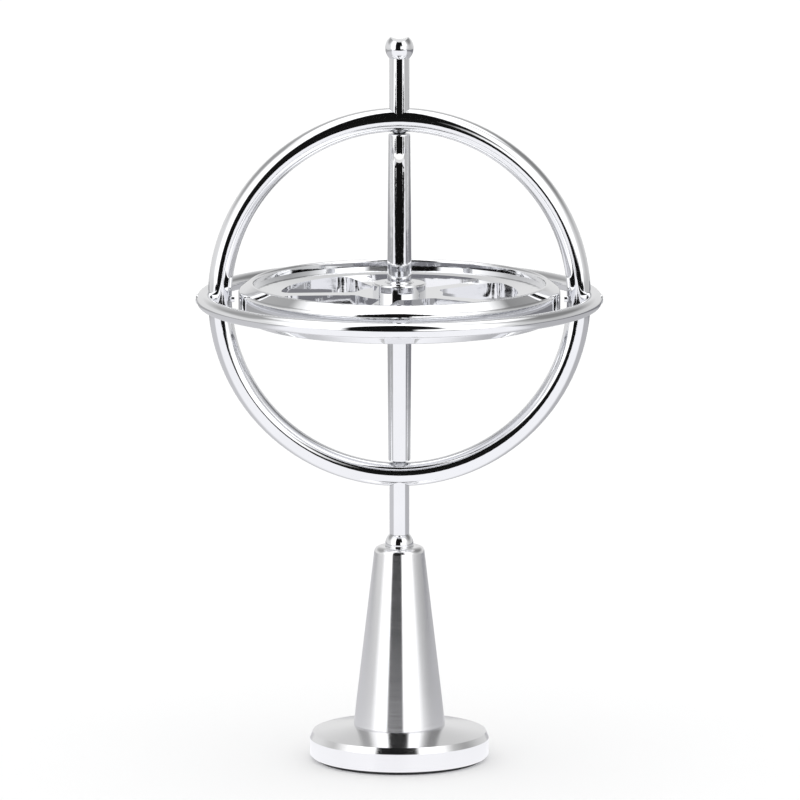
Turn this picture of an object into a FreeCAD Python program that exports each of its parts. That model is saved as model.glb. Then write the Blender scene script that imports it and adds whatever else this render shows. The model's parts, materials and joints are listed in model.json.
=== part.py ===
"""Toy gyroscope standing on a turned pedestal: a parametric FreeCAD document, one STEP file per piece.

Millimetres, +Z up, origin at the middle of the pedestal's underside. The rotor's axis is the Z axis, the
vertical ring lies in the XZ plane and the horizontal ring lies level, outside it.
"""
import FreeCAD, Part
import math
import os

import Sketcher

DRIVING_SIZES = {
    # pedestal, from the table up
    "pad_radius": 13.2,
    "pad_height": 0.6,
    "disc_radius": 14.45,
    "disc_side": 2.95,
    "disc_face_radius": 14.0,
    "disc_face_edge": 3.95,
    "disc_height": 5.0,
    "disc_chamfer": 0.3,
    "cone_foot_radius": 7.4,
    "cone_top_radius": 3.95,
    "cone_height": 29.3,
    "cone_shoulder": 1.0,
    "cone_foot_chamfer": 0.2,
    # screw that holds the cone on the disc
    "screw_radius": 1.5,
    "screw_head_radius": 2.9,
    "screw_head_height": 1.4,
    "screw_reach": 8.0,
    "screw_hole_spare": 1.0,
    "screw_socket_radius": 1.15,
    "screw_socket_depth": 1.0,
    # ball ends and posts
    "ball_radius": 2.28,
    "ball_rise": 0.3,
    "cup_clearance": 0.05,
    "post_gap": 0.03,
    "lower_post_radius": 1.59,
    "upper_post_radius": 1.62,
    "upper_ball_height": 115.72,
    "ball_bore_radius": 0.9,
    "ball_bore_depth": 1.0,
    "groove_radius": 2.06,
    "groove_depth": 1.1,
    # rings
    "frame_height": 75.4,
    "upright_ring_radius": 28.78,
    "upright_tube_radius": 1.91,
    "level_ring_height": 75.15,
    "level_ring_radius": 31.3,
    "level_tube_radius": 1.2,
    "rivet_radius": 0.5,
    "rivet_head_radius": 0.75,
    "rivet_head_height": 0.4,
    "rivet_reach": 6.2,
    "rivet_proud": 0.15,
    "rivet_seat_spare": 0.02,
    # pivots that carry the axle
    "pivot_shank_radius": 0.8,
    "pivot_shank_reach": 6.0,
    "pivot_cone_radius": 1.36,
    "pivot_cone_height": 1.5,
    "pivot_cone_inset": 0.2,
    "pivot_tip_radius": 0.08,
    "cope_spare": 0.04,
    "cope_reach": 4.0,
    # rotor
    "rotor_height": 74.85,
    "axle_top": 101.95,
    "axle_bottom": 48.85,
    "axle_seat_radius": 1.95,
    "axle_seat_half": 3.1,
    "axle_end_radius": 1.76,
    "axle_edge": 0.25,
    "string_hole_radius": 0.75,
    "string_hole_height": 98.2,
    "bearing_radius": 1.3,
    "bearing_length": 1.8,
    "bearing_mouth_radius": 1.1,
    "bearing_clearance": 0.05,
    "bush_radius": 2.35,
    "bush_lip_radius": 2.1,
    "bush_lip": 0.2,
    "hub_radius": 4.3,
    "hub_half": 3.0,
    "hub_edge": 0.3,
    "spoke_half": 1.25,
    "spoke_count": 5,
    "spoke_width": 2.9,
    "spoke_phase": 4.0,
    "window_inner_radius": 7.0,
    "window_corner": 1.5,
    "web_inner_radius": 19.0,
    "web_inner_half": 1.35,
    "web_outer_half": 1.95,
    "bead_inner_radius": 23.4,
    "bead_inner_round": 0.4,
    "bevel_radius": 24.0,
    "bevel_drop": 1.3,
    "bevel_round": 0.7,
    "rim_radius": 25.8,
    "rim_half": 3.1,
}

DERIVED_SIZES = {
    "disc_top": "=pad_height + disc_height",
    "cone_top": "=disc_top + cone_height",
    "lower_ball_height": "=cone_top + ball_rise",
    "cup_radius": "=ball_radius + cup_clearance",
    "upright_ring_top": "=frame_height + upright_ring_radius",
    "upright_ring_bottom": "=frame_height - upright_ring_radius",
    "inner_pole_top": "=upright_ring_top - upright_tube_radius",
    "inner_pole_bottom": "=upright_ring_bottom + upright_tube_radius",
    "rivet_tip": "=level_ring_radius + level_tube_radius + rivet_proud",
}

FULL_TURN = 360.0
TOLERANCE = 1e-4

doc = FreeCAD.newDocument("gyroscope")
sheet = doc.addObject("Spreadsheet::Sheet", "Sizes")
subparts = []


def fill_sheet():
    """Driving sizes as plain numbers and derived ones as formulas, each with its name as alias."""
    row = 1
    for name, value in list(DRIVING_SIZES.items()) + list(DERIVED_SIZES.items()):
        sheet.set(f"A{row}", name)
        sheet.set(f"B{row}", str(value))
        sheet.setAlias(f"B{row}", name)
        row += 1
    doc.recompute()


def size(name):
    """The value of a named cell."""
    return float(getattr(sheet, name))


def in_sheet(formula):
    """A formula over cell names, with each name pointing into the sheet."""
    words = formula.replace("(", "( ").replace(")", " )").split()
    known = DRIVING_SIZES.keys() | DERIVED_SIZES.keys()
    return " ".join(f"Sizes.{word}" if word in known else word for word in words)


def bind(obj, **formulas):
    """Bind properties to the sheet; a double underscore in a name stands for a dot."""
    for prop, formula in formulas.items():
        obj.setExpression(prop.replace("__", "."), in_sheet(formula))


def primitive(kind, name, **formulas):
    """A Part primitive with its sizes bound to the sheet."""
    obj = doc.addObject(f"Part::{kind}", name)
    bind(obj, **formulas)
    return obj


def turned(obj, axis, degrees):
    """Turn an object about a row axis through its own origin."""
    obj.Placement = FreeCAD.Placement(FreeCAD.Vector(), FreeCAD.Rotation(FreeCAD.Vector(*axis), degrees))
    return obj


def cut(base, tools, name):
    """base minus every tool, one boolean after another."""
    for number, tool in enumerate(tools):
        result = doc.addObject("Part::Cut", name if number == len(tools) - 1 else f"{name}_step_{number + 1}")
        result.Base = base
        result.Tool = tool
        base = result
    return base


def origin_feature(body, role):
    """One of a body's own origin planes or axes."""
    return next(f for f in body.Origin.OriginFeatures if f.Role == role)


def revolved(name, outline):
    """A PartDesign body of revolution about Z.

    outline lists its corners as (radius, height) formulas, both zero or positive. A radius of "0" puts the
    corner on the axis, and a height of "0" puts it on the base plane.
    """
    body = doc.addObject("PartDesign::Body", name)
    sketch = body.newObject("Sketcher::SketchObject", f"{name}_outline")
    sketch.AttachmentSupport = (origin_feature(body, "XZ_Plane"), "")
    sketch.MapMode = "FlatFace"
    corners = [FreeCAD.Vector(value(radius), value(height), 0) for radius, height in outline]
    for number, corner in enumerate(corners):
        following = corners[(number + 1) % len(corners)]
        sketch.addGeometry(Part.LineSegment(corner, following), False)
    for number, (radius, height) in enumerate(outline):
        following = (number + 1) % len(corners)
        sketch.addConstraint(Sketcher.Constraint("Coincident", number, 2, following, 1))
        pin_corner(sketch, number, "DistanceX", radius, corners[number].x)
        pin_corner(sketch, number, "DistanceY", height, corners[number].y)
    turn = body.newObject("PartDesign::Revolution", f"{name}_turn")
    turn.Profile = sketch
    turn.ReferenceAxis = (sketch, ["V_Axis"])
    turn.Angle = FULL_TURN
    body.Tip = turn
    doc.recompute()
    return body


def pin_corner(sketch, line, kind, formula, amount):
    """Hold the start of a sketch line at a distance from the origin, or on the sketch's own axis if zero."""
    if formula == "0":
        axis = -2 if kind == "DistanceX" else -1
        sketch.addConstraint(Sketcher.Constraint("PointOnObject", line, 1, axis))
        return
    index = sketch.addConstraint(Sketcher.Constraint(kind, -1, 1, line, 1, amount))
    sketch.setExpression(f"Constraints[{index}]", in_sheet(formula))


def value(formula):
    """The number that a formula over cell names stands for, worked out by the sheet itself."""
    if formula == "0":
        return 0.0
    sheet.set("D1", f"={formula}")
    sheet.recompute()
    return float(sheet.get("D1"))


def ring_edges(shape, circles):
    """Names of the circular edges about Z at the given (radius, height) pairs."""
    found = []
    for number, edge in enumerate(shape.Edges, start=1):
        curve = edge.Curve
        if not isinstance(curve, Part.Circle):
            continue
        for radius, height in circles:
            level = abs(curve.Center.z - height) < TOLERANCE
            central = math.hypot(curve.Center.x, curve.Center.y) < TOLERANCE
            if level and central and abs(curve.Radius - radius) < TOLERANCE:
                found.append(f"Edge{number}")
    return sorted(set(found))


def dress(body, kind, name, edges, **formulas):
    """Round or chamfer edges of a body's tip."""
    base = body.Tip
    feature = body.newObject(f"PartDesign::{kind}", name)
    feature.Base = (base, edges)
    bind(feature, **formulas)
    body.Tip = feature
    doc.recompute()
    return feature


def subpart(obj, name, height=None):
    """Name a finished piece, lift it to its height and list it for export."""
    obj.Label = name
    if height:
        bind(obj, Placement__Base__z=height)
    subparts.append(obj)
    return obj


def upright_torus(name):
    """The vertical ring's full tube, in the XZ plane."""
    torus = primitive("Torus", name, Radius1="upright_ring_radius", Radius2="upright_tube_radius")
    turned(torus, (1, 0, 0), 90)
    bind(torus, Placement__Base__z="frame_height")
    return torus


def tube_at_pole(name, pole, clear=False):
    """A straight rod in place of the vertical ring's tube at a pole, to cope a post or pivot with."""
    radius = "upright_tube_radius + cope_spare" if clear else "upright_tube_radius"
    rod = primitive("Cylinder", name, Radius=radius, Height="2 * cope_reach")
    turned(rod, (0, 1, 0), 90)
    bind(rod, Placement__Base__x="-1 * cope_reach", Placement__Base__z=pole)
    return rod


def level_torus(name):
    """The horizontal ring's full tube."""
    torus = primitive("Torus", name, Radius1="level_ring_radius", Radius2="level_tube_radius")
    bind(torus, Placement__Base__z="level_ring_height")
    return torus


def make_pedestal():
    """Rubber pad, disc, cone with a cup for the ball, and the screw that joins disc and cone.

    The disc's upper face rises from its bevelled edge to a level seat under the cone.
    """
    pad_outline = [("0", "0"), ("pad_radius", "0"), ("pad_radius", "pad_height"), ("0", "pad_height")]
    subpart(revolved("Pad", pad_outline), "base_pad")

    disc = revolved(
        "Disc",
        [
            ("screw_head_radius", "0"),
            ("disc_radius", "0"),
            ("disc_radius", "disc_side"),
            ("disc_face_radius", "disc_face_edge"),
            ("cone_foot_radius", "disc_height"),
            ("screw_radius", "disc_height"),
            ("screw_radius", "screw_head_height"),
        ],
    )
    lower_edge = ring_edges(disc.Shape, [(size("disc_radius"), 0.0)])
    dress(disc, "Chamfer", "Disc_lower_edge", lower_edge, Size="disc_chamfer")
    subpart(disc, "base_disc", "pad_height")

    cone_body = revolved(
        "Cone",
        [
            ("screw_radius", "0"),
            ("cone_foot_radius", "0"),
            ("cone_top_radius", "cone_height"),
            ("0", "cone_height"),
            ("0", "screw_reach + screw_hole_spare"),
            ("screw_radius", "screw_reach + screw_hole_spare"),
        ],
    )
    shoulder = ring_edges(cone_body.Shape, [(size("cone_top_radius"), size("cone_height"))])
    dress(cone_body, "Fillet", "Cone_shoulder", shoulder, Radius="cone_shoulder")
    foot = ring_edges(cone_body.Shape, [(size("cone_foot_radius"), 0.0)])
    dress(cone_body, "Chamfer", "Cone_foot", foot, Size="cone_foot_chamfer")
    bind(cone_body, Placement__Base__z="disc_top")
    cup = primitive("Sphere", "Cup", Radius="cup_radius", Placement__Base__z="lower_ball_height")
    subpart(cut(cone_body, [cup], "Cone_with_cup"), "pedestal_cone")

    screw = revolved(
        "Screw",
        [
            ("0", "screw_socket_depth"),
            ("screw_socket_radius", "screw_socket_depth"),
            ("screw_socket_radius", "0"),
            ("screw_head_radius", "0"),
            ("screw_radius", "screw_head_height"),
            ("screw_radius", "disc_height + screw_reach"),
            ("0", "disc_height + screw_reach"),
        ],
    )
    subpart(screw, "base_screw", "pad_height")


def make_rings():
    """The vertical ring, with seats for the horizontal ring, and the horizontal ring, both bored for rivets.

    The horizontal ring is counterbored too, so that the rivets' heads sit in its outer side.
    """
    bores = [rivet_bore("Upright_bore_left", -1), rivet_bore("Upright_bore_right", 1)]
    shank_bore = primitive(
        "Cylinder",
        "Pole_bore",
        Radius="pivot_shank_radius",
        Height="2 * ( upright_ring_radius + upright_tube_radius + 1 )",
        Placement__Base__z="upright_ring_bottom - upright_tube_radius - 1",
    )
    seats = level_torus("Level_ring_seat")
    upright = cut(upright_torus("Upright_tube"), [seats, shank_bore] + bores, "Upright_ring")
    subpart(upright, "vertical_ring")

    bores = [rivet_bore("Level_bore_left", -1), rivet_bore("Level_bore_right", 1)]
    seats = [rivet_seat("Level_seat_left", -1), rivet_seat("Level_seat_right", 1)]
    subpart(cut(level_torus("Level_tube"), bores + seats, "Level_ring"), "horizontal_ring")


def rivet_bore(name, side):
    """A bore along X for a rivet's shank, at one side."""
    bore = primitive("Cylinder", name, Radius="rivet_radius", Height="rivet_reach + 2")
    turned(bore, (0, 1, 0), 90)
    start = "rivet_tip - rivet_reach" if side > 0 else "-1 * ( rivet_tip + 2 )"
    bind(bore, Placement__Base__x=start, Placement__Base__z="level_ring_height")
    return bore


def rivet_seat(name, side):
    """A counterbore for a rivet's head, open outwards at one side."""
    seat = primitive("Cylinder", name, Radius="rivet_head_radius + rivet_seat_spare", Height="2")
    turned(seat, (0, 1, 0), 90)
    start = "rivet_tip - rivet_head_height" if side > 0 else "rivet_head_height - rivet_tip - 2"
    bind(seat, Placement__Base__x=start, Placement__Base__z="level_ring_height")
    return seat


def make_rivets():
    """One rivet through each crossing of the rings, with a low domed head outside."""
    for name, side in (("left", -1), ("right", 1)):
        rivet = revolved(
            f"Rivet_{name}",
            [
                ("0", "0"),
                ("rivet_radius", "0"),
                ("rivet_radius", "rivet_reach - rivet_head_height"),
                ("rivet_head_radius", "rivet_reach - rivet_head_height"),
                ("rivet_head_radius", "rivet_reach - rivet_proud"),
                ("rivet_radius", "rivet_reach"),
                ("0", "rivet_reach"),
            ],
        )
        turned(rivet, (0, 1, 0), 90 * side)
        start = "rivet_tip - rivet_reach" if side > 0 else "rivet_reach - rivet_tip"
        bind(rivet, Placement__Base__x=start, Placement__Base__z="level_ring_height")
        subpart(rivet, f"rivet_{name}")


def make_upper_post():
    """The post above the frame, its grooved ball, and the pivot whose shank goes up into it."""
    foot = "upright_ring_top"
    top = "upper_ball_height - sqrt( ball_radius ^ 2 - upper_post_radius ^ 2 )"
    post = primitive(
        "Cylinder",
        "Upper_post",
        Radius="upper_post_radius",
        Height=f"{top} - {foot}",
        Placement__Base__z=foot,
    )
    spigot = primitive(
        "Cylinder",
        "Upper_spigot",
        Radius="ball_bore_radius",
        Height="ball_bore_depth",
        Placement__Base__z=top,
    )
    joined = doc.addObject("Part::Fuse", "Upper_post_whole")
    joined.Base = post
    joined.Tool = spigot
    socket = primitive(
        "Cylinder",
        "Upper_shank_socket",
        Radius="pivot_shank_radius",
        Height="pivot_shank_reach",
        Placement__Base__z="inner_pole_top",
    )
    saddle = tube_at_pole("Upper_saddle", "upright_ring_top")
    subpart(cut(joined, [saddle, socket], "Upper_post_cut"), "top_post")

    ball = primitive("Sphere", "Upper_ball", Radius="ball_radius", Placement__Base__z="upper_ball_height")
    seat = primitive(
        "Cylinder",
        "Upper_ball_seat",
        Radius="ball_radius",
        Height="ball_radius",
        Placement__Base__z=f"{top} - ball_radius",
    )
    bore = primitive(
        "Cylinder",
        "Upper_ball_bore",
        Radius="ball_bore_radius",
        Height="ball_bore_depth",
        Placement__Base__z=top,
    )
    groove = primitive("Cylinder", "String_groove", Radius="groove_radius", Height="4 * ball_radius")
    turned(groove, (1, 0, 0), 90)
    bind(
        groove,
        Placement__Base__y="2 * ball_radius",
        Placement__Base__z="upper_ball_height + ball_radius - groove_depth + groove_radius",
    )
    subpart(cut(ball, [seat, bore, groove], "Upper_ball_cut"), "top_ball")
    pivot("Upper_pivot", "upper_pivot", "upright_ring_top", "inner_pole_top", up=True)


def make_lower_post():
    """The post under the frame, hollowed to sit on the ball, the ball, and the lower pivot."""
    post = primitive(
        "Cylinder",
        "Lower_post",
        Radius="lower_post_radius",
        Height="upright_ring_bottom - lower_ball_height",
        Placement__Base__z="lower_ball_height",
    )
    hollow = primitive(
        "Sphere", "Lower_post_hollow", Radius="ball_radius + post_gap", Placement__Base__z="lower_ball_height"
    )
    socket = primitive(
        "Cylinder",
        "Lower_shank_socket",
        Radius="pivot_shank_radius",
        Height="pivot_shank_reach",
        Placement__Base__z="inner_pole_bottom - pivot_shank_reach",
    )
    tools = [hollow, tube_at_pole("Lower_saddle", "upright_ring_bottom"), socket]
    subpart(cut(post, tools, "Lower_post_cut"), "lower_post")
    ball = primitive("Sphere", "Lower_ball", Radius="ball_radius")
    subpart(ball, "lower_ball", "lower_ball_height")
    pivot("Lower_pivot", "lower_pivot", "upright_ring_bottom", "inner_pole_bottom", up=False)


def pivot(feature, name, ring_pole, pole, up):
    """A cone-pointed pin: the shank goes out through the ring, and the cone is coped to the ring's tube.

    Its outline starts at the point, height zero. The cone's wide end lies a little past the tube's inner
    side, at the pole, and the tube is cut out of what is beyond it.
    """
    point = "pivot_cone_height - pivot_cone_inset"
    pin = revolved(
        feature,
        [
            ("0", "0"),
            ("pivot_tip_radius", "0"),
            ("pivot_cone_radius", "pivot_cone_height"),
            ("pivot_cone_radius", point + " + upright_tube_radius"),
            ("0", point + " + upright_tube_radius"),
        ],
    )
    if up:
        bind(pin, Placement__Base__z=f"{pole} - ( {point} )")
    else:
        turned(pin, (1, 0, 0), 180)
        bind(pin, Placement__Base__z=f"{pole} + {point}")
    cope = tube_at_pole(f"{feature}_cope", ring_pole, clear=True)
    shank = primitive("Cylinder", f"{feature}_shank", Radius="pivot_shank_radius")
    bind(shank, Height="pivot_shank_reach + pivot_cone_inset")
    foot = f"{pole} - pivot_cone_inset" if up else f"{pole} - pivot_shank_reach"
    bind(shank, Placement__Base__z=foot)
    whole = doc.addObject("Part::Fuse", f"{feature}_whole")
    whole.Base = cut(pin, [cope], f"{feature}_coped")
    whole.Tool = shank
    subpart(whole, name)


def make_rotor():
    """Axle with its two bearing cups, bush, and the spoked flywheel."""
    middle = "( rotor_height - axle_bottom )"
    axle = revolved(
        "Axle",
        [
            ("0", "bearing_length"),
            ("bearing_radius", "bearing_length"),
            ("bearing_radius", "0"),
            ("axle_end_radius", "0"),
            ("axle_seat_radius", f"{middle} - axle_seat_half"),
            ("axle_seat_radius", f"{middle} + axle_seat_half"),
            ("axle_end_radius", "axle_top - axle_bottom"),
            ("bearing_radius", "axle_top - axle_bottom"),
            ("bearing_radius", "axle_top - axle_bottom - bearing_length"),
            ("0", "axle_top - axle_bottom - bearing_length"),
        ],
    )
    length = size("axle_top") - size("axle_bottom")
    ends = ring_edges(axle.Shape, [(size("axle_end_radius"), 0.0), (size("axle_end_radius"), length)])
    dress(axle, "Fillet", "Axle_ends", ends, Radius="axle_edge")
    bind(axle, Placement__Base__z="axle_bottom")
    hole = primitive("Cylinder", "String_hole", Radius="string_hole_radius", Height="4 * axle_seat_radius")
    turned(hole, (1, 0, 0), 90)
    bind(hole, Placement__Base__y="2 * axle_seat_radius", Placement__Base__z="string_hole_height")
    subpart(cut(axle, [hole], "Axle_with_hole"), "axle")

    bearing("Upper_bearing", "upper_bearing_cup", up=True)
    bearing("Lower_bearing", "lower_bearing_cup", up=False)

    bush = revolved(
        "Bush",
        [
            ("axle_seat_radius", "0"),
            ("bush_lip_radius", "0"),
            ("bush_radius", "bush_lip"),
            ("bush_radius", "2 * axle_seat_half - bush_lip"),
            ("bush_lip_radius", "2 * axle_seat_half"),
            ("axle_seat_radius", "2 * axle_seat_half"),
        ],
    )
    subpart(bush, "hub_bush", "rotor_height - axle_seat_half")
    make_flywheel()


def bearing(feature, name, up):
    """A cup pressed into an axle end, with a conical seat for the pivot's point."""
    point_reach = "pivot_cone_height - pivot_cone_inset + bearing_clearance"
    overlap = "axle_top - inner_pole_top" if up else "inner_pole_bottom - axle_bottom"
    seat = f"bearing_length - ( {overlap} + {point_reach} )"
    cup = revolved(
        feature,
        [
            ("0", "0"),
            ("bearing_radius", "0"),
            ("bearing_radius", "bearing_length"),
            ("bearing_mouth_radius", "bearing_length"),
            ("pivot_tip_radius", seat),
            ("0", seat),
        ],
    )
    if up:
        subpart(cup, name, "axle_top - bearing_length")
        return
    turned(cup, (1, 0, 0), 180)
    subpart(cup, name, "axle_bottom + bearing_length")


def make_flywheel():
    """Bevelled rim, dished web, spokes between rounded windows, and the hub."""
    outline = [
        ("bush_radius", "rim_half - hub_half"),
        ("hub_radius", "rim_half - hub_half"),
        ("hub_radius", "rim_half - spoke_half"),
        ("web_inner_radius", "rim_half - spoke_half"),
        ("web_inner_radius", "rim_half - web_inner_half"),
        ("bead_inner_radius", "rim_half - web_outer_half"),
        ("bead_inner_radius", "0"),
        ("bevel_radius", "0"),
        ("rim_radius", "bevel_drop"),
    ]
    mirrored = [(radius, f"2 * rim_half - ( {height} )") for radius, height in reversed(outline)]
    wheel = revolved("Flywheel", outline + mirrored)
    blank_volume = wheel.Shape.Volume

    sketch = window_sketch(wheel)
    window = wheel.newObject("PartDesign::Pocket", "Window")
    window.Profile = sketch
    window.Type = "ThroughAll"
    window.Midplane = True
    wheel.Tip = window
    doc.recompute()
    if wheel.Shape.Volume >= blank_volume:
        raise RuntimeError("the window's pocket cut nothing")

    corners = window_corners(wheel.Shape)
    rounding = dress(wheel, "Fillet", "Window_corners", corners, Radius="window_corner")
    windows = wheel.newObject("PartDesign::PolarPattern", "Windows")
    windows.Originals = [window, rounding]
    windows.Axis = (origin_feature(wheel, "Z_Axis"), [""])
    windows.Angle = FULL_TURN
    bind(windows, Occurrences="spoke_count")
    wheel.Tip = windows
    doc.recompute()

    height = 2 * size("rim_half")
    drop = size("bevel_drop")
    bevel = [(size("bevel_radius"), 0.0), (size("bevel_radius"), height)]
    bevel += [(size("rim_radius"), drop), (size("rim_radius"), height - drop)]
    dress(wheel, "Fillet", "Bevel_edges", ring_edges(wheel.Shape, bevel), Radius="bevel_round")
    inside = [(size("bead_inner_radius"), 0.0), (size("bead_inner_radius"), height)]
    dress(wheel, "Fillet", "Bead_inside", ring_edges(wheel.Shape, inside), Radius="bead_inner_round")
    hub_levels = (size("rim_half") - size("hub_half"), size("rim_half") + size("hub_half"))
    hub = ring_edges(wheel.Shape, [(size("hub_radius"), level) for level in hub_levels])
    dress(wheel, "Fillet", "Hub_edges", hub, Radius="hub_edge")
    wheel.Placement = FreeCAD.Placement(
        FreeCAD.Vector(), FreeCAD.Rotation(FreeCAD.Vector(0, 0, 1), size("spoke_phase"))
    )
    subpart(wheel, "flywheel", "rotor_height - rim_half")


def window_sketch(body):
    """One window about the X axis: two arcs about the centre and two sides parallel to its spokes."""
    sketch = body.newObject("Sketcher::SketchObject", "Window_outline")
    sketch.AttachmentSupport = (origin_feature(body, "XY_Plane"), "")
    sketch.MapMode = "FlatFace"
    half_pitch = math.pi / size("spoke_count")
    half_width = size("spoke_width") / 2
    corners = []
    angles = []
    for radius in (size("window_inner_radius"), size("web_inner_radius")):
        angle = half_pitch - math.asin(half_width / radius)
        angles.append(angle)
        corners.append((radius * math.cos(angle), radius * math.sin(angle)))
    centre = FreeCAD.Vector()
    normal = FreeCAD.Vector(0, 0, 1)
    inner = Part.Circle(centre, normal, size("window_inner_radius"))
    outer = Part.Circle(centre, normal, size("web_inner_radius"))
    sketch.addGeometry(Part.ArcOfCircle(inner, -angles[0], angles[0]), False)
    sketch.addGeometry(Part.ArcOfCircle(outer, -angles[1], angles[1]), False)
    for side in (-1, 1):
        near, far = (FreeCAD.Vector(x, side * y, 0) for x, y in corners)
        sketch.addGeometry(Part.LineSegment(near, far), False)
    for arc, radius in ((0, "window_inner_radius"), (1, "web_inner_radius")):
        sketch.addConstraint(Sketcher.Constraint("Coincident", arc, 3, -1, 1))
        index = sketch.addConstraint(Sketcher.Constraint("Radius", arc, size(radius)))
        sketch.setExpression(f"Constraints[{index}]", in_sheet(radius))
        for end, line in ((1, 2), (2, 3)):
            sketch.addConstraint(Sketcher.Constraint("Coincident", arc, end, line, arc + 1))
    for line in (2, 3):
        index = sketch.addConstraint(Sketcher.Constraint("Distance", -1, 1, line, half_width))
        sketch.setExpression(f"Constraints[{index}]", in_sheet("spoke_width / 2"))
    for first, second in ((-1, 3), (2, -1)):
        index = sketch.addConstraint(Sketcher.Constraint("Angle", first, 1, second, 1, half_pitch))
        sketch.setExpression(f"Constraints[{index}]", in_sheet("180 deg / spoke_count"))
    doc.recompute()
    return sketch


def window_corners(shape):
    """Names of the upright straight edges at the window's four corners."""
    names = []
    for number, edge in enumerate(shape.Edges, start=1):
        if not isinstance(edge.Curve, Part.Line):
            continue
        radius = math.hypot(edge.Vertexes[0].X, edge.Vertexes[0].Y)
        upright = abs(edge.Curve.Direction.z) > 1 - TOLERANCE
        if upright and radius < size("web_inner_radius") + TOLERANCE:
            names.append(f"Edge{number}")
    return names


def check_document():
    """Stop if any object failed to compute, or any sub-part's shape is missing or wrong."""
    for obj in doc.Objects:
        bad = {"Invalid", "Error"} & set(obj.State)
        if bad:
            raise RuntimeError(f"{obj.Name} is {sorted(bad)}")
    for obj in subparts:
        if obj.Shape.isNull() or not obj.Shape.isValid() or len(obj.Shape.Solids) != 1:
            raise RuntimeError(f"{obj.Label} has no single valid solid")


fill_sheet()
make_pedestal()
make_rings()
make_rivets()
make_upper_post()
make_lower_post()
make_rotor()
sheet.clear("D1")
doc.recompute()
check_document()
os.makedirs("parts", exist_ok=True)
for piece in subparts:
    piece.Shape.exportStep(f"parts/{piece.Label}.step")
    box = piece.Shape.BoundBox
    print(f"{piece.Label}: z {box.ZMin:.2f} to {box.ZMax:.2f}, volume {piece.Shape.Volume:.1f} mm3")
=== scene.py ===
"""Looks for the toy gyroscope: studio, camera, and procedural metals and rubber on the CAD pieces."""
import json
import math

import bpy
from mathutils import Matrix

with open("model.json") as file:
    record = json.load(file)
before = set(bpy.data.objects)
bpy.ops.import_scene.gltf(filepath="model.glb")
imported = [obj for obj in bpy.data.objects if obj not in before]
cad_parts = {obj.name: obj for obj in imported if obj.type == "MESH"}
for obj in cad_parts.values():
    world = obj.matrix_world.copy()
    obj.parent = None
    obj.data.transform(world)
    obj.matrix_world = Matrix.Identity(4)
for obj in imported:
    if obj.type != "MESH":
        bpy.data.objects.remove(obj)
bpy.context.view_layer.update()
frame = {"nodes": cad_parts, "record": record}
scene = bpy.context.scene


# ---------------------------------------------------------------- node helpers

# the Mix node has one set of sockets per data type, so its colours are found by place
MIX_FIRST_COLOUR = 6
MIX_SECOND_COLOUR = 7
MIX_RESULT_COLOUR = 2


def grey(level):
    """A neutral colour of one brightness."""
    return (level, level, level, 1.0)


class Nodes:
    """Short names for building one node tree."""

    def __init__(self, tree):
        self.tree = tree

    def add(self, kind, **settings):
        """A node with its plain properties set."""
        node = self.tree.nodes.new(kind)
        for name, value in settings.items():
            setattr(node, name, value)
        return node

    def link(self, source, target):
        """A link between two sockets."""
        self.tree.links.new(source, target)

    def feed(self, socket, value):
        """Link a socket to a socket, or set a plain value on it."""
        if isinstance(value, bpy.types.NodeSocket):
            self.link(value, socket)
        else:
            socket.default_value = value

    def math(self, operation, *values):
        """One Math node on sockets or numbers."""
        node = self.add("ShaderNodeMath", operation=operation)
        for socket, value in zip(node.inputs, values):
            self.feed(socket, value)
        return node.outputs[0]

    def scaled(self, vector, scale):
        """A vector times a per-axis scale."""
        node = self.add("ShaderNodeVectorMath", operation="MULTIPLY")
        self.feed(node.inputs[0], vector)
        node.inputs[1].default_value = scale
        return node.outputs[0]

    def ramp(self, value, low, high, to_low=0.0, to_high=1.0, smooth=False):
        """value mapped from low..high to to_low..to_high, and held beyond."""
        kind = "SMOOTHSTEP" if smooth else "LINEAR"
        node = self.add("ShaderNodeMapRange", interpolation_type=kind)
        for name, amount in (("Value", value), ("From Min", low), ("From Max", high)):
            self.feed(node.inputs[name], amount)
        node.inputs["To Min"].default_value = to_low
        node.inputs["To Max"].default_value = to_high
        return node.outputs[0]

    def noise(self, vector, scale, detail=2.0, roughness=0.5):
        """Soft noise between 0 and 1."""
        node = self.add("ShaderNodeTexNoise")
        self.feed(node.inputs["Vector"], vector)
        node.inputs["Scale"].default_value = scale
        node.inputs["Detail"].default_value = detail
        node.inputs["Roughness"].default_value = roughness
        return node.outputs["Fac"]

    def mix(self, factor, first, second):
        """A colour between two, by the Mix node's colour sockets."""
        node = self.add("ShaderNodeMix", data_type="RGBA")
        self.feed(node.inputs["Factor"], factor)
        self.feed(node.inputs[MIX_FIRST_COLOUR], first)
        self.feed(node.inputs[MIX_SECOND_COLOUR], second)
        return node.outputs[MIX_RESULT_COLOUR]

    def bump(self, height, distance, strength, before=None):
        """A normal tipped by a height; distance is in metres."""
        node = self.add("ShaderNodeBump")
        self.feed(node.inputs["Height"], height)
        node.inputs["Distance"].default_value = distance
        node.inputs["Strength"].default_value = strength
        if before is not None:
            self.link(before, node.inputs["Normal"])
        return node.outputs["Normal"]


def new_material(name):
    """A material with one Principled shader; returns the material, its node helper and the shader."""
    material = bpy.data.materials.new(name)
    material.use_nodes = True
    nodes = Nodes(material.node_tree)
    shader = next(n for n in material.node_tree.nodes if n.type == "BSDF_PRINCIPLED")
    return material, nodes, shader


# ---------------------------------------------------------------- materials


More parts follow.
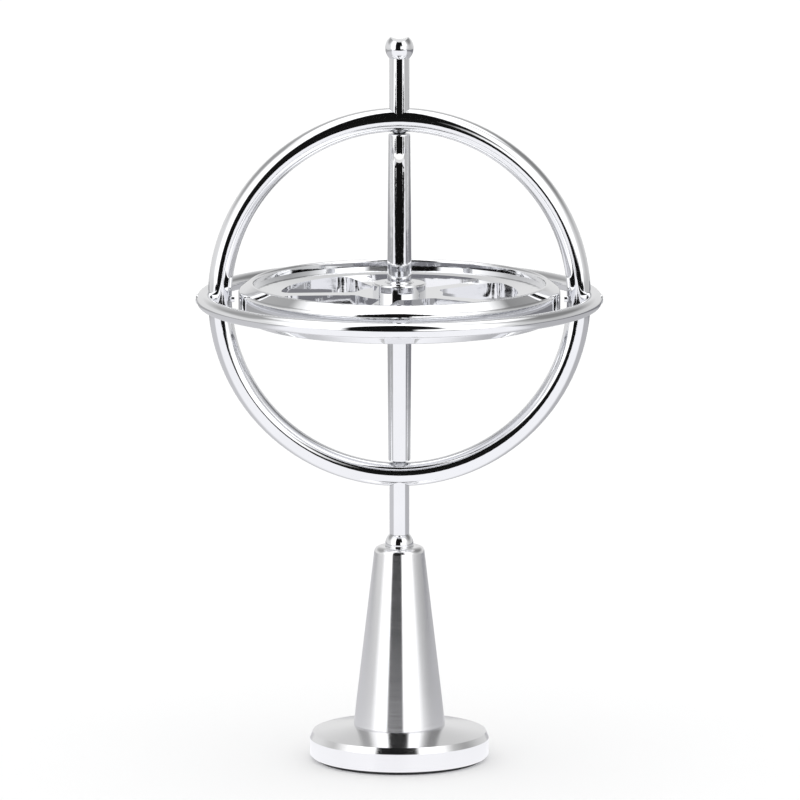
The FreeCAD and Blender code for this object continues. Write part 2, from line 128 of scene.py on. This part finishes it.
def chrome(name, tint, haze):
    """Plated chrome: mirror bright, with faint waves in the plating and fine rub marks."""
    material, n, shader = new_material(name)
    place = n.add("ShaderNodeTexCoord").outputs["Object"]
    cloud = n.noise(place, scale=160.0, detail=3.0)
    rubbed = n.noise(n.scaled(place, (900.0, 900.0, 4200.0)), scale=1.0, detail=3.0, roughness=0.6)
    waves = n.noise(place, scale=520.0, detail=1.0)
    darker = tuple(0.93 * c for c in tint) + (1.0,)
    n.feed(shader.inputs["Base Color"], n.mix(cloud, tint + (1.0,), darker))
    n.feed(shader.inputs["Roughness"], n.ramp(rubbed, 0.35, 0.75, to_low=haze, to_high=haze + 0.05))
    wavy = n.bump(waves, distance=0.00002, strength=0.35)
    n.feed(shader.inputs["Normal"], n.bump(rubbed, distance=0.000004, strength=0.2, before=wavy))
    shader.inputs["Metallic"].default_value = 1.0
    return material


def turned_aluminium(name):
    """Lathe-turned and polished aluminium: fine rings about the upright axis, with a satin spread."""
    material, n, shader = new_material(name)
    place = n.add("ShaderNodeTexCoord").outputs["Object"]
    flat = n.add("ShaderNodeVectorMath", operation="LENGTH")
    n.feed(flat.inputs[0], n.scaled(place, (1.0, 1.0, 0.0)))
    split = n.add("ShaderNodeSeparateXYZ")
    n.feed(split.inputs[0], place)
    tool_place = n.add("ShaderNodeCombineXYZ")
    n.feed(tool_place.inputs[0], flat.outputs["Value"])
    n.feed(tool_place.inputs[1], split.outputs[2])
    fine = n.noise(tool_place.outputs[0], scale=9000.0, detail=2.0, roughness=0.7)
    coarse = n.noise(tool_place.outputs[0], scale=1600.0, detail=2.0)
    cloud = n.noise(place, scale=90.0, detail=3.0)
    n.feed(shader.inputs["Base Color"], n.mix(cloud, (0.92, 0.92, 0.93, 1.0), (0.86, 0.86, 0.87, 1.0)))
    n.feed(shader.inputs["Roughness"], n.ramp(fine, 0.3, 0.7, to_low=0.12, to_high=0.18))
    shader.inputs["Anisotropic"].default_value = 0.75
    shader.inputs["Anisotropic Rotation"].default_value = 0.25
    n.link(n.add("ShaderNodeTangent", direction_type="RADIAL", axis="Z").outputs[0], shader.inputs["Tangent"])
    rings = n.bump(coarse, distance=0.000006, strength=0.2)
    n.feed(shader.inputs["Normal"], n.bump(fine, distance=0.000003, strength=0.25, before=rings))
    shader.inputs["Metallic"].default_value = 1.0
    return material


def ground_steel(name, tint, low, high):
    """Ground or plated steel, darker than the chrome, with streaks round the part and roughness low..high."""
    material, n, shader = new_material(name)
    place = n.add("ShaderNodeTexCoord").outputs["Object"]
    streaks = n.noise(n.scaled(place, (700.0, 700.0, 9000.0)), scale=1.0, detail=3.0)
    cloud = n.noise(place, scale=400.0, detail=2.0)
    darker = tuple(0.85 * c for c in tint) + (1.0,)
    n.feed(shader.inputs["Base Color"], n.mix(cloud, tint + (1.0,), darker))
    n.feed(shader.inputs["Roughness"], n.ramp(streaks, 0.3, 0.7, to_low=low, to_high=high))
    n.feed(shader.inputs["Normal"], n.bump(streaks, distance=0.00001, strength=0.3))
    shader.inputs["Metallic"].default_value = 1.0
    return material


def rubber(name):
    """Matt black rubber sheet with a fine grain and a little dust."""
    material, n, shader = new_material(name)
    place = n.add("ShaderNodeTexCoord").outputs["Object"]
    grain = n.noise(place, scale=6000.0, detail=3.0, roughness=0.7)
    dust = n.noise(place, scale=500.0, detail=4.0, roughness=0.65)
    n.feed(
        shader.inputs["Base Color"],
        n.mix(n.ramp(dust, 0.5, 0.8), (0.012, 0.012, 0.013, 1.0), grey(0.04)),
    )
    n.feed(shader.inputs["Roughness"], n.ramp(grain, 0.3, 0.7, to_low=0.6, to_high=0.85))
    n.feed(shader.inputs["Normal"], n.bump(grain, distance=0.00004, strength=0.5))
    return material


MATERIALS = {
    "chrome_plate": chrome("chrome_plate", (0.90, 0.905, 0.92), 0.02),
    "satin_aluminium": turned_aluminium("satin_aluminium"),
    "bearing_steel": ground_steel("bearing_steel", (0.62, 0.63, 0.65), 0.14, 0.26),
    "screw_steel": ground_steel("screw_steel", (0.50, 0.50, 0.52), 0.28, 0.42),
    "rubber_pad": rubber("rubber_pad"),
}


def dress_cad_nodes():
    """Give each CAD node the material of its own slot."""
    for part in frame["record"]["subparts"]:
        node = frame["nodes"][part["node"]]
        node.data.materials.clear()
        node.data.materials.append(MATERIALS[part["material_slot"]])


# ---------------------------------------------------------------- studio

# Panels of the studio as the metal sees them, in three bands one above the other. Each stop is an angle
# about the upright axis, in degrees from the front with right positive, and a brightness.
LOW_BAND = [
    (-180, 0.70), (-104, 0.76), (-84, 0.68), (-68, 0.70), (-60, 1.5), (-36, 1.5), (-32, 0.006), (32, 0.006),
    (36, 1.3), (50, 1.3), (62, 0.52), (112, 0.54), (126, 0.60), (180, 0.70),
]
MIDDLE_BAND = [
    (-180, 0.80), (-150, 0.78), (-120, 0.78), (-80, 0.82), (-64, 1.4), (-34, 1.5), (-29, 0.008), (7, 0.008),
    (12, 1.5), (50, 1.5), (64, 0.82), (84, 0.62), (100, 0.56), (130, 0.66), (155, 0.76), (180, 0.80),
]
HIGH_BAND = [
    (-180, 0.66), (-160, 0.52), (-130, 0.36), (-100, 0.42), (-84, 1.0), (-60, 1.5), (-36, 1.5), (-31, 0.006),
    (24, 0.006), (30, 1.5), (60, 1.5), (80, 0.55), (100, 0.27), (135, 0.25), (160, 0.48), (180, 0.66),
]
# where one band gives way to the next, and where the light overhead begins, in degrees above level
LOW_TO_MIDDLE = (-5.0, -1.0)
MIDDLE_TO_HIGH = (12.0, 26.0)
OVERHEAD_IN_FRONT = (86.0, 89.5)
OVERHEAD_BEHIND = (46.0, 58.0)
# where front gives way to behind on each side, as fractions of a turn that starts behind
BEHIND_ON_LEFT = (0.24, 0.27)
BEHIND_ON_RIGHT = (0.73, 0.76)
TOP_LIGHT = 1.6
AMBIENT = 1.12
# painted dark along the table card's front edge, where the metal sees the unlit room beyond the table
EDGE_PAINTED_DARK = 0.006

# sizes of the floor and the table, in metres
FLOOR_HALF = 8.0
TABLE_HALF = 0.60
TABLE_HEIGHT = -0.0004
# the painted light of the table's bright wedge opens towards the viewer: how far it reaches aside for each
# metre in front, and where it fades beyond that
WEDGE_SLOPE = 1.73
WEDGE_FADE = (0.03, 0.12)
# where the table's painted dark front edge falls along y, where its painted shade darkens with distance, and
# where left meets right
TABLE_EDGE_FADE = (-0.45, -0.42)
FAR_FADE = (0.28, 0.37)
SIDE_FADE = (-0.04, 0.04)
FLOOR_LEVEL = 0.93
# painted light: the table's bright wedge in front, as the metal sees it
WEDGE_PAINTED_LIGHT = (1.02, 1.02, 1.05, 1.0)
# painted shade of the table on each side, near the object and farther out, darker on the right
LEFT_NEAR_SHADE = (0.62, 0.62, 0.64, 1.0)
LEFT_FAR_SHADE = (0.41, 0.41, 0.42, 1.0)
RIGHT_NEAR_SHADE = (0.50, 0.50, 0.52, 1.0)
RIGHT_FAR_SHADE = (0.23, 0.23, 0.25, 1.0)

# the camera's place in metres, and its pitch in radians below level
CAMERA_PLACE = (0.0001, -1.5, 0.3158)
CAMERA_PITCH = 0.16974
SENSOR_MM = 36.0
LENS_MM = 426.375
CLIP_M = (0.1, 50.0)


def square(name, half, height):
    """A level square about the upright axis, linked to the scene."""
    corners = [(half * x, half * y, height) for x, y in ((-1, -1), (1, -1), (1, 1), (-1, 1))]
    mesh = bpy.data.meshes.new(name)
    mesh.from_pydata(corners, [], [(0, 1, 2, 3)])
    obj = bpy.data.objects.new(name, mesh)
    scene.collection.objects.link(obj)
    return obj


def make_floor():
    """A plain pale floor that fills the view behind the object; the metal sees the glowing table card, with
    its painted light and shade, instead.
    """
    floor = square("floor", FLOOR_HALF, 0.0)
    material, _, shader = new_material("floor")
    shader.inputs["Base Color"].default_value = grey(FLOOR_LEVEL)
    shader.inputs["Roughness"].default_value = 0.9
    shader.inputs["Specular IOR Level"].default_value = 0.0
    floor.data.materials.append(material)
    floor.visible_glossy = False


def make_painted_table_reflection():
    """The table top as the metal sees it, painted on a glowing card: painted light in a bright wedge in
    front, painted shade in greys elsewhere, and a painted dark front edge.

    The painted shade is darker on the right, and darker again farther from the object.
    """
    painted_table_reflection = square("painted_table_reflection", TABLE_HALF, TABLE_HEIGHT)
    painted_table_reflection.visible_camera = False
    painted_table_reflection.visible_diffuse = False
    painted_table_reflection.visible_shadow = False
    material = bpy.data.materials.new("painted_table_reflection")
    material.use_nodes = True
    material.node_tree.nodes.clear()
    n = Nodes(material.node_tree)
    place = n.add("ShaderNodeTexCoord").outputs["Object"]
    split = n.add("ShaderNodeSeparateXYZ")
    n.feed(split.inputs[0], place)
    x, y, _ = split.outputs
    spread = n.math("MULTIPLY_ADD", y, WEDGE_SLOPE, n.math("ABSOLUTE", x))
    outside_wedge = n.ramp(spread, *WEDGE_FADE, smooth=True)
    within_edge = n.ramp(y, *TABLE_EDGE_FADE, smooth=True)
    distance = n.add("ShaderNodeVectorMath", operation="LENGTH")
    n.feed(distance.inputs[0], place)
    far = n.ramp(distance.outputs["Value"], *FAR_FADE, smooth=True)
    # painted shade: the greys darken farther from the object
    left = n.mix(far, LEFT_NEAR_SHADE, LEFT_FAR_SHADE)
    right = n.mix(far, RIGHT_NEAR_SHADE, RIGHT_FAR_SHADE)
    # painted shade: the right side darker than the left
    painted_side_shade = n.mix(n.ramp(x, *SIDE_FADE), left, right)
    # painted light of the bright wedge in front, with the painted shade greys outside it
    painted_light_and_shade = n.mix(outside_wedge, WEDGE_PAINTED_LIGHT, painted_side_shade)
    emission = n.add("ShaderNodeEmission")
    # painted dark beyond the table's front edge, over the painted light and shade; the card glows with all of
    # it
    n.feed(emission.inputs["Color"], n.mix(within_edge, grey(EDGE_PAINTED_DARK), painted_light_and_shade))
    n.link(emission.outputs[0], n.add("ShaderNodeOutputMaterial").inputs[0])
    painted_table_reflection.data.materials.append(material)


def brightness_around(n, turn, stops):
    """Brightness over a whole turn about the upright axis; the ramp's own end points are the outer stops."""
    ramp = n.add("ShaderNodeValToRGB")
    brightest = max(level for _, level in stops)
    points = ramp.color_ramp.elements
    for angle, level in stops[1:-1]:
        points.new((angle + 180) / 360).color = grey(level / brightest)
    points[0].color = grey(stops[0][1] / brightest)
    points[-1].color = grey(stops[-1][1] / brightest)
    n.feed(ramp.inputs[0], turn)
    return n.scaled(ramp.outputs[0], (brightest,) * 3)


def make_world():
    """The studio that shows in the metal: a dark opening in front, bright panels each side, greys behind.

    Only reflections see it. Everything else gets an even ambient light.
    """
    world = bpy.data.worlds.new("studio")
    scene.world = world
    world.use_nodes = True
    n = Nodes(world.node_tree)
    background = next(k for k in world.node_tree.nodes if k.type == "BACKGROUND")
    split = n.add("ShaderNodeSeparateXYZ")
    n.feed(split.inputs[0], n.add("ShaderNodeTexCoord").outputs["Generated"])
    x, y, z = split.outputs
    rise = n.math("DEGREES", n.math("ARCSINE", z))
    turn = n.math("DEGREES", n.math("ARCTAN2", x, n.math("MULTIPLY", y, -1.0)))
    turn = n.ramp(turn, -180.0, 180.0)
    behind_left = n.ramp(turn, *BEHIND_ON_LEFT, to_low=1.0, to_high=0.0)
    behind = n.math("MAXIMUM", behind_left, n.ramp(turn, *BEHIND_ON_RIGHT))
    low, middle, high = (brightness_around(n, turn, band) for band in (LOW_BAND, MIDDLE_BAND, HIGH_BAND))
    seen = n.mix(n.ramp(rise, *LOW_TO_MIDDLE), low, middle)
    seen = n.mix(n.ramp(rise, *MIDDLE_TO_HIGH), seen, high)
    overhead = n.mix(behind, n.ramp(rise, *OVERHEAD_IN_FRONT), n.ramp(rise, *OVERHEAD_BEHIND))
    seen = n.mix(overhead, seen, grey(TOP_LIGHT))
    glossy = n.add("ShaderNodeLightPath").outputs["Is Glossy Ray"]
    n.feed(background.inputs["Color"], n.mix(glossy, grey(AMBIENT), seen))
    background.inputs["Strength"].default_value = 1.0


def make_camera():
    """A long lens at the photograph's angle: straight in front of the pedestal, looking a little down."""
    data = bpy.data.cameras.new("camera")
    data.sensor_width = SENSOR_MM
    data.lens = LENS_MM
    data.clip_start, data.clip_end = CLIP_M
    camera = bpy.data.objects.new("camera", data)
    camera.location = CAMERA_PLACE
    camera.rotation_euler = (math.radians(90) - CAMERA_PITCH, 0.0, 0.0)
    scene.collection.objects.link(camera)
    scene.camera = camera


dress_cad_nodes()
make_floor()
make_painted_table_reflection()
make_world()
make_camera()
scene.view_settings.view_transform = "Standard"
